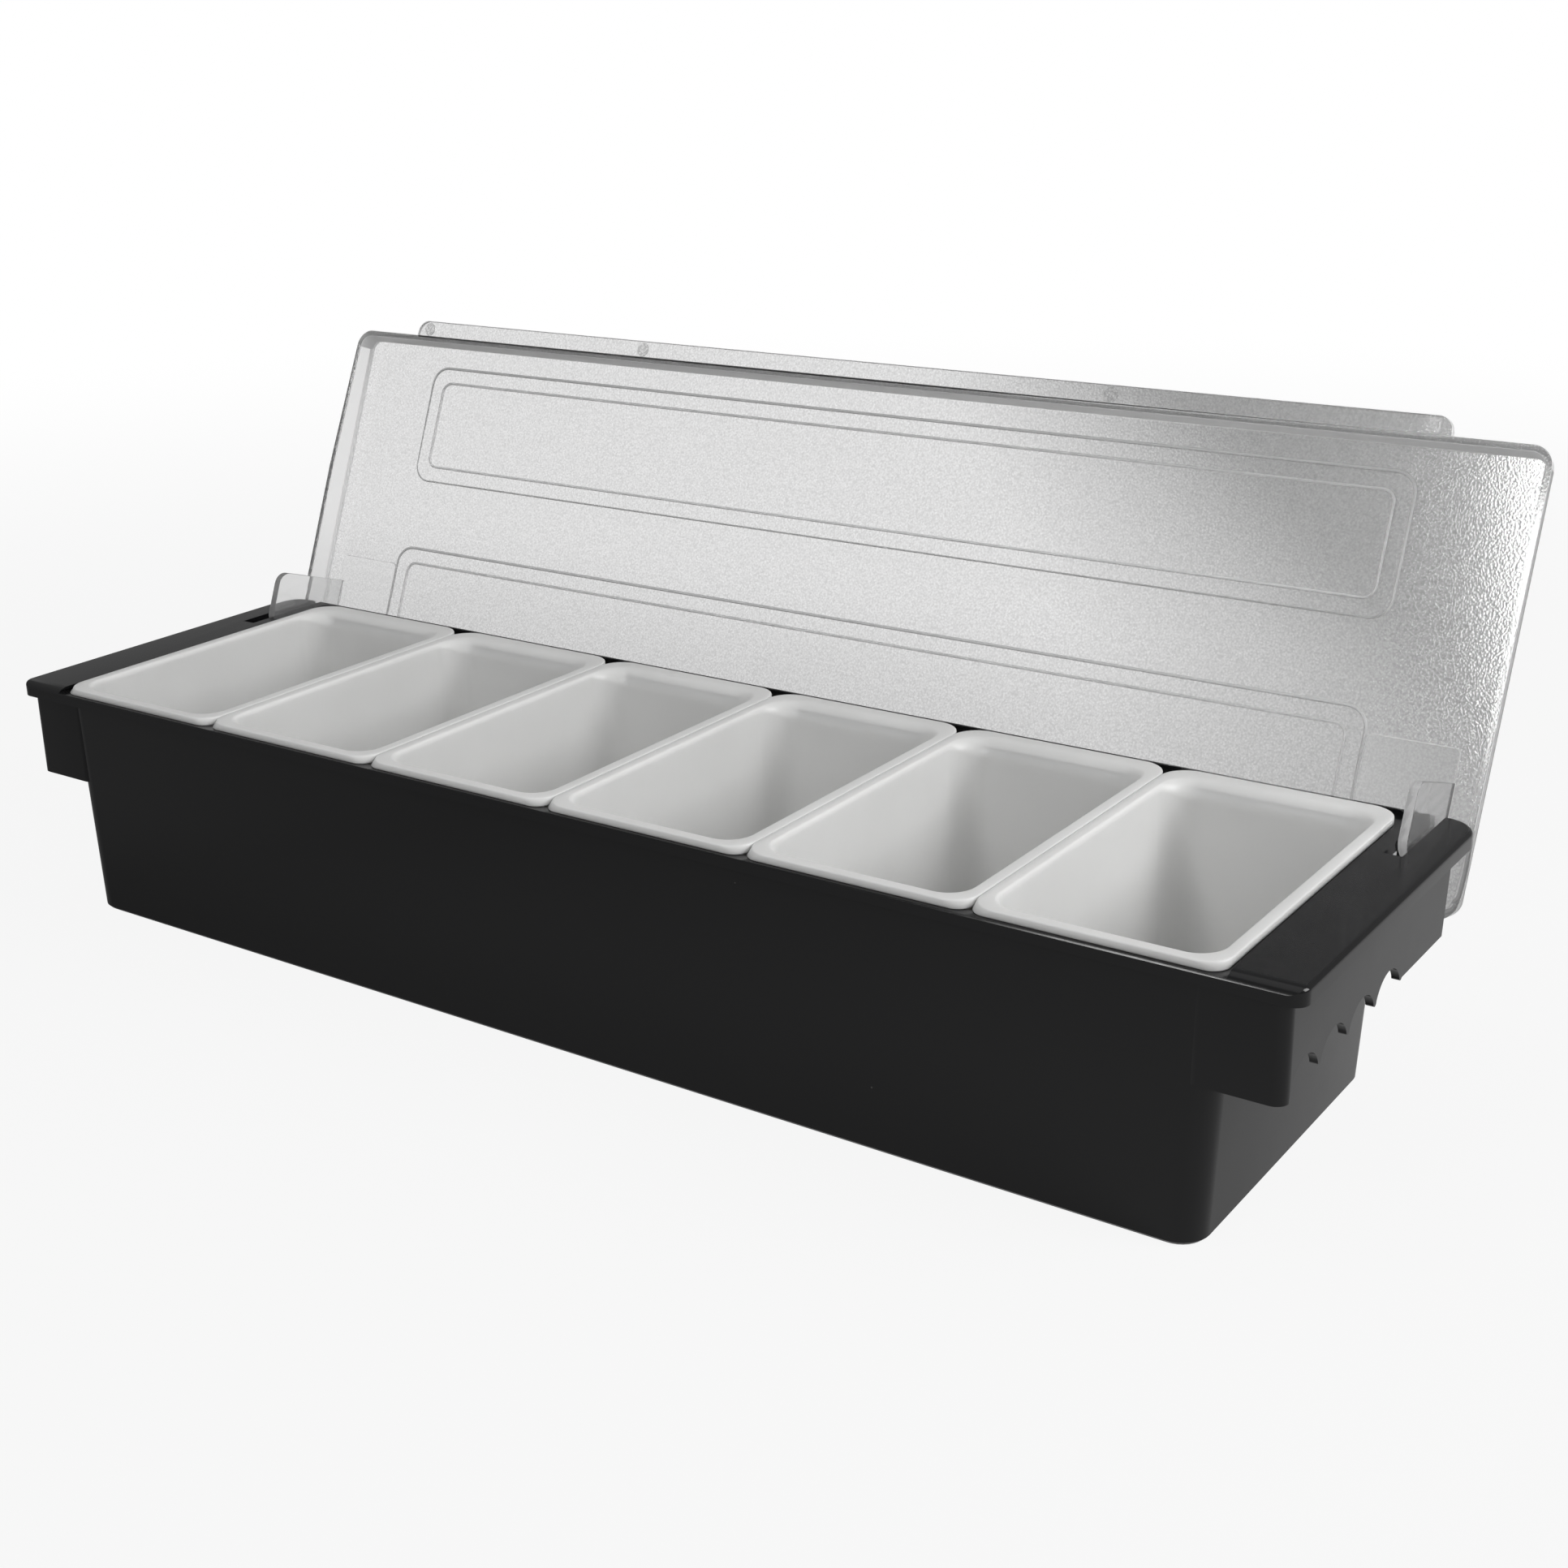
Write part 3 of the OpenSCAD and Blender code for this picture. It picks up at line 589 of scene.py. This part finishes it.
def bead_tree():
    """A node tree that makes a bead round a rounded rectangle in its own plane."""
    tree = bpy.data.node_groups.new("step_bead", "GeometryNodeTree")
    tree.interface.new_socket("Geometry", in_out="INPUT", socket_type="NodeSocketGeometry")
    for name, kind in (("Long Side", "NodeSocketFloat"), ("Short Side", "NodeSocketFloat"),
                       ("Corner", "NodeSocketFloat"), ("Top Bead", "NodeSocketFloat"),
                       ("Bottom Bead", "NodeSocketFloat"), ("Plastic", "NodeSocketMaterial")):
        tree.interface.new_socket(name, in_out="INPUT", socket_type=kind)
    tree.interface.new_socket("Geometry", in_out="OUTPUT", socket_type="NodeSocketGeometry")
    given = tree.nodes.new("NodeGroupInput").outputs
    path = add_node(tree, "GeometryNodeCurvePrimitiveQuadrilateral", Width=given["Long Side"],
                    Height=given["Short Side"])
    corner = add_node(tree, "GeometryNodeFilletCurve", {"mode": "POLY"}, Curve=path.outputs[0], Count=10,
                      Radius=given["Corner"])
    half = add_node(tree, "ShaderNodeMath", {"operation": "DIVIDE"}, i0=given["Short Side"], i1=2.0).outputs[0]
    below = add_node(tree, "ShaderNodeMath", {"operation": "MULTIPLY"}, i0=half, i1=-1.0).outputs[0]
    place = add_node(tree, "GeometryNodeInputPosition").outputs[0]
    height = add_node(tree, "ShaderNodeSeparateXYZ", i0=place).outputs["Y"]
    size = add_node(tree, "ShaderNodeMapRange", Value=height, From_Min=below, From_Max=half,
                    To_Min=given["Bottom Bead"], To_Max=given["Top Bead"]).outputs[0]
    ring = add_node(tree, "GeometryNodeCurvePrimitiveCircle", Resolution=10, Radius=1.0)
    bead = add_node(tree, "GeometryNodeCurveToMesh", Curve=corner.outputs[0], Profile_Curve=ring.outputs[0],
                    Scale=size)
    smooth = add_node(tree, "GeometryNodeSetShadeSmooth", Geometry=bead.outputs[0])
    real = add_node(tree, "GeometryNodeRealizeInstances", Geometry=smooth.outputs[0])
    dressed = add_node(tree, "GeometryNodeSetMaterial", Geometry=real.outputs[0], Material=given["Plastic"])
    tree.links.new(dressed.outputs[0], tree.nodes.new("NodeGroupOutput").inputs[0])
    return tree


# %% The lid's own directions
lid_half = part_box("lid")[1].x
panel_up = Vector((0, math.sin(LID_LEAN), math.cos(LID_LEAN)))
tab_tip = max((v.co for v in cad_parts["lid"].data.vertices), key=lambda co: co.z)
inner_face = outer_face + PANEL_MM * MM
tip_up = tab_tip.dot(panel_up)
print("lid half length", round(lid_half / MM, 1), "mm, tab's tip", round(tip_up / MM, 1), "mm up the panel")


def on_panel(up, proud):
    """A point in the lid's middle plane: so far up the panel from the bottom, and so far off its inner face."""
    return panel_up * up + panel_out * (inner_face + proud)


# %% The outer and the inner steps
TAB_REACH = 5.8
lid_front = tip_up - TAB_REACH * MM
turn = Matrix((Vector((1, 0, 0)), panel_up, panel_out)).transposed()
bead_nodes = bead_tree()


def frame_steps(name, inset, radius, beads, plastic):
    """The same step of both frames as one piece: two beads, laid on the panel."""
    form = bmesh.new()
    for k in range(2):
        middle = lid_front - (FRAME_FRONT + FRAME_DEPTH / 2 + k * (FRAME_DEPTH + FRAME_GAP)) * MM
        bead = repeated(bpy.data.meshes.new("bead"), "bead", bead_nodes, {
            "Long Side": 2 * (lid_half - (FRAME_INSET + inset) * MM),
            "Short Side": (FRAME_DEPTH - 2 * inset) * MM,
            "Corner": radius * MM, "Bottom Bead": beads[0] * MM, "Top Bead": beads[1] * MM,
            "Plastic": plastic})
        bead.data.transform(Matrix.Translation(on_panel(middle, BEAD_HEIGHT * MM)) @ turn.to_4x4())
        form.from_mesh(bead.data)
        bpy.data.objects.remove(bead)
    bmesh.ops.remove_doubles(form, verts=form.verts, dist=1e-7)
    bmesh.ops.recalc_face_normals(form, faces=form.faces)
    mesh = bpy.data.meshes.new(name)
    form.to_mesh(mesh)
    form.free()
    mesh.materials.append(plastic)
    piece = bpy.data.objects.new(name, mesh)
    bpy.context.scene.collection.objects.link(piece)
    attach(piece, "lid")
    print(name, len(mesh.polygons), "faces")


# Outer steps: greyer tint, painted shade. Inner steps: whiter tint, painted light.
frame_steps("outer_steps", 0, FRAME_RADIUS, OUTER_BEADS, STYRENE_SHARP_STEP_PAINTED_SHADE)
frame_steps("inner_steps", FRAME_WIDTH, FRAME_INNER_RADIUS, INNER_BEADS, STYRENE_SOFT_STEP_PAINTED_LIGHT)

# %% The four ejector marks
pin_row = tab_tip - panel_up * PIN_BELOW_TIP * MM
for name, x in (("pin_marks_outer", PIN_OUTER_X), ("pin_marks_inner", PIN_INNER_X)):
    marks = repeated(pin_mesh(), name, row_tree(), {
        "Count": 2, "Pitch": 2 * x * MM, "Plastic": STYRENE_PEBBLED, "Start": (-x * MM, pin_row.y, pin_row.z)})
    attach(marks, "lid")
    print(name, "faces", len(marks.data.polygons))

# %% [markdown]
# ## Floor and background
#
# The box stands on a pale sheet that runs on behind it. The camera sees it almost white, and wholly white further
# off, so that no horizon shows. The share of plain paper near the box keeps its soft shadow. What is seen through
# the clear lid is the same sheet, but with painted shade: darker towards the right and close behind the box, because
# a clear edge only shows when it bends something dark into view. Reflections get the paper as the lamps light it,
# with a share of white, a painted reflection, that grows towards the right, and so the black housing stays black.
# The directions are fixed in the room.


# %% Floor
SHEET_NEAR = 0.45
SHEET_FAR = 1.5
FLOOR_HALF = 4.0
SHADE_TURN = math.radians(35)
SHADE_STOPS = ((0.0, 1.0), (0.6, 1.0), (0.72, 0.72), (0.82, 0.40), (1.0, 0.36))


def pale_sheet():
    """A sheet that is bright to the camera, with painted shade through clear plastic, and paper with a painted
    reflection to other rays.
    """
    material, tree, output = new_material("pale_backdrop_sheet")
    path = add_node(tree, "ShaderNodeLightPath").outputs
    place = add_node(tree, "ShaderNodeTexCoord").outputs["Object"]
    away = add_node(tree, "ShaderNodeVectorMath", {"operation": "LENGTH"}, i0=place).outputs["Value"]
    white_share = add_node(tree, "ShaderNodeMapRange", {"interpolation_type": "SMOOTHSTEP"}, Value=away,
                           From_Min=SHEET_NEAR, From_Max=SHEET_FAR, To_Min=0.9, To_Max=1.0).outputs[0]
    # Through clear plastic the sheet gets painted shade: darker towards the right and close behind the box.
    across = add_node(tree, "ShaderNodeVectorMath", {"operation": "DOT_PRODUCT"}, i0=place,
                      i1=(math.cos(SHADE_TURN), math.sin(SHADE_TURN), 0)).outputs["Value"]
    side = add_node(tree, "ShaderNodeMapRange", Value=across, From_Min=-0.3, From_Max=0.5).outputs[0]
    ramp = add_node(tree, "ShaderNodeValToRGB", Fac=side)
    for _ in range(len(SHADE_STOPS) - len(ramp.color_ramp.elements)):
        ramp.color_ramp.elements.new(0.5)
    for element, (position, level) in zip(ramp.color_ramp.elements, SHADE_STOPS):
        element.position = position
        element.color = (level, level, level, 1)
    shade = ramp.outputs["Color"]
    behind = add_node(tree, "ShaderNodeSeparateXYZ", i0=place).outputs["Y"]
    close = add_node(tree, "ShaderNodeMapRange", Value=behind, From_Min=0.08, From_Max=0.45, To_Min=0.6).outputs[0]
    through = add_node(tree, "ShaderNodeMath", {"operation": "MULTIPLY"}, i0=shade, i1=close).outputs[0]
    glow_with_painted_shade = add_node(tree, "ShaderNodeMix", Factor=path["Is Transmission Ray"], i2=1.0, i3=through).outputs[0]
    # Glossy rays see a share of white that grows towards the right, a painted reflection.
    mirrored = add_node(tree, "ShaderNodeMapRange", Value=across, From_Min=-0.25, From_Max=0.15,
                        To_Max=0.34).outputs[0]
    painted_reflection_share = add_node(tree, "ShaderNodeMix", Factor=path["Is Glossy Ray"], i2=0.0, i3=mirrored).outputs[0]
    unseen = add_node(tree, "ShaderNodeMix", Factor=path["Is Transmission Ray"], i2=painted_reflection_share, i3=1.0).outputs[0]
    share = add_node(tree, "ShaderNodeMix", Factor=path["Is Camera Ray"], i2=unseen, i3=white_share).outputs[0]
    paper = add_node(tree, "ShaderNodeBsdfDiffuse", Color=linear("#a2a2a2"))
    white = add_node(tree, "ShaderNodeEmission", Color=(1, 1, 1, 1), Strength=glow_with_painted_shade)
    mixed = add_node(tree, "ShaderNodeMixShader", Fac=share, i1=paper.outputs[0], i2=white.outputs[0])
    tree.links.new(mixed.outputs[0], output.inputs["Surface"])
    return material


floor_mesh = bpy.data.meshes.new("floor")
floor_mesh.from_pydata([(x, y, 0) for x, y in ((-FLOOR_HALF, -FLOOR_HALF), (FLOOR_HALF, -FLOOR_HALF),
                                               (FLOOR_HALF, FLOOR_HALF), (-FLOOR_HALF, FLOOR_HALF))], [],
                       [(0, 1, 2, 3)])
floor_mesh.materials.append(pale_sheet())
floor = bpy.data.objects.new("floor", floor_mesh)
bpy.context.scene.collection.objects.link(floor)
print("floor", floor.name, "is", 2 * FLOOR_HALF, "m wide")

# %% [markdown]
# ## The room
#
# The camera sees a white room. The object gets an even dim light from it. Through the clear plastic a wall shows that
# is lighter behind the box than in front of it, and once a ray has been mirrored, only a dim room is left.

# %% World
ROOM_DIM = 0.27
ROOM_MIRRORED = 0.3
world = bpy.data.worlds.new("studio")
bpy.context.scene.world = world
world.use_nodes = True
world.node_tree.nodes.clear()
sky = world.node_tree
path = add_node(sky, "ShaderNodeLightPath").outputs
direction = add_node(sky, "ShaderNodeTexCoord").outputs["Generated"]
backward = add_node(sky, "ShaderNodeSeparateXYZ", i0=direction).outputs["Y"]
wall = add_node(sky, "ShaderNodeMapRange", Value=backward, From_Min=0.1, From_Max=0.5, To_Min=0.42, To_Max=0.8)
mirrored = add_node(sky, "ShaderNodeMath", {"operation": "GREATER_THAN"}, i0=path["Glossy Depth"], i1=0.5)
through = add_node(sky, "ShaderNodeMix", Factor=mirrored.outputs[0], i2=wall.outputs[0], i3=ROOM_MIRRORED).outputs[0]
unseen = add_node(sky, "ShaderNodeMix", Factor=path["Is Transmission Ray"], i2=ROOM_DIM, i3=through).outputs[0]
strength = add_node(sky, "ShaderNodeMix", Factor=path["Is Camera Ray"], i2=unseen, i3=1.0).outputs[0]
room = add_node(sky, "ShaderNodeBackground", Color=(1, 1, 1, 1), Strength=strength)
add_node(sky, "ShaderNodeOutputWorld", Surface=room.outputs[0])
print("world made with", len(sky.nodes), "nodes")

# %% [markdown]
# ## Lamps
#
# The black end face is lighter than the front, and inside the trays the walls that face right are the light ones. So
# the main softbox stands high on the right. Two small ones in front are there for their reflections: the window shows
# as the glare in the lid's right corner, and the strip as the fine line on the housing's rolled front edge.


# %% Softboxes
def softbox(name, place, target, size, power, roll=0):
    """A rectangular area lamp at a place, aimed at a target and rolled by some degrees."""
    data = bpy.data.lights.new(name, "AREA")
    data.shape = "RECTANGLE"
    data.size, data.size_y = size
    data.energy = power
    lamp = bpy.data.objects.new(name, data)
    lamp.location = place
    lamp.visible_transmission = False
    aim = (Vector(target) - Vector(place)).to_track_quat("-Z", "Y").to_matrix()
    lamp.rotation_euler = (aim @ Matrix.Rotation(math.radians(roll), 3, "Z")).to_euler()
    bpy.context.scene.collection.objects.link(lamp)


softbox("key_right", (1.2, 0.35, 0.75), (0, 0, 0.05), (0.7, 0.7), 13)
softbox("window_front", (-0.02, -1.06, 0.84), (0.23, 0.11, 0.18), (0.22, 0.32), 3.0, roll=16)
softbox("strip_front", (-0.19, -0.42, 1.0), (0.2, -0.07, 0.08), (0.2, 0.12), 1.2)
softbox("fill_right_front", (0.9, -1.3, 0.7), (0, 0, 0.05), (0.8, 0.8), 2)
softbox("top", (0, 0.4, 1.7), (0, 0, 0), (1.2, 0.8), 1.5)

# %% View settings
bpy.context.scene.view_settings.view_transform = "Standard"
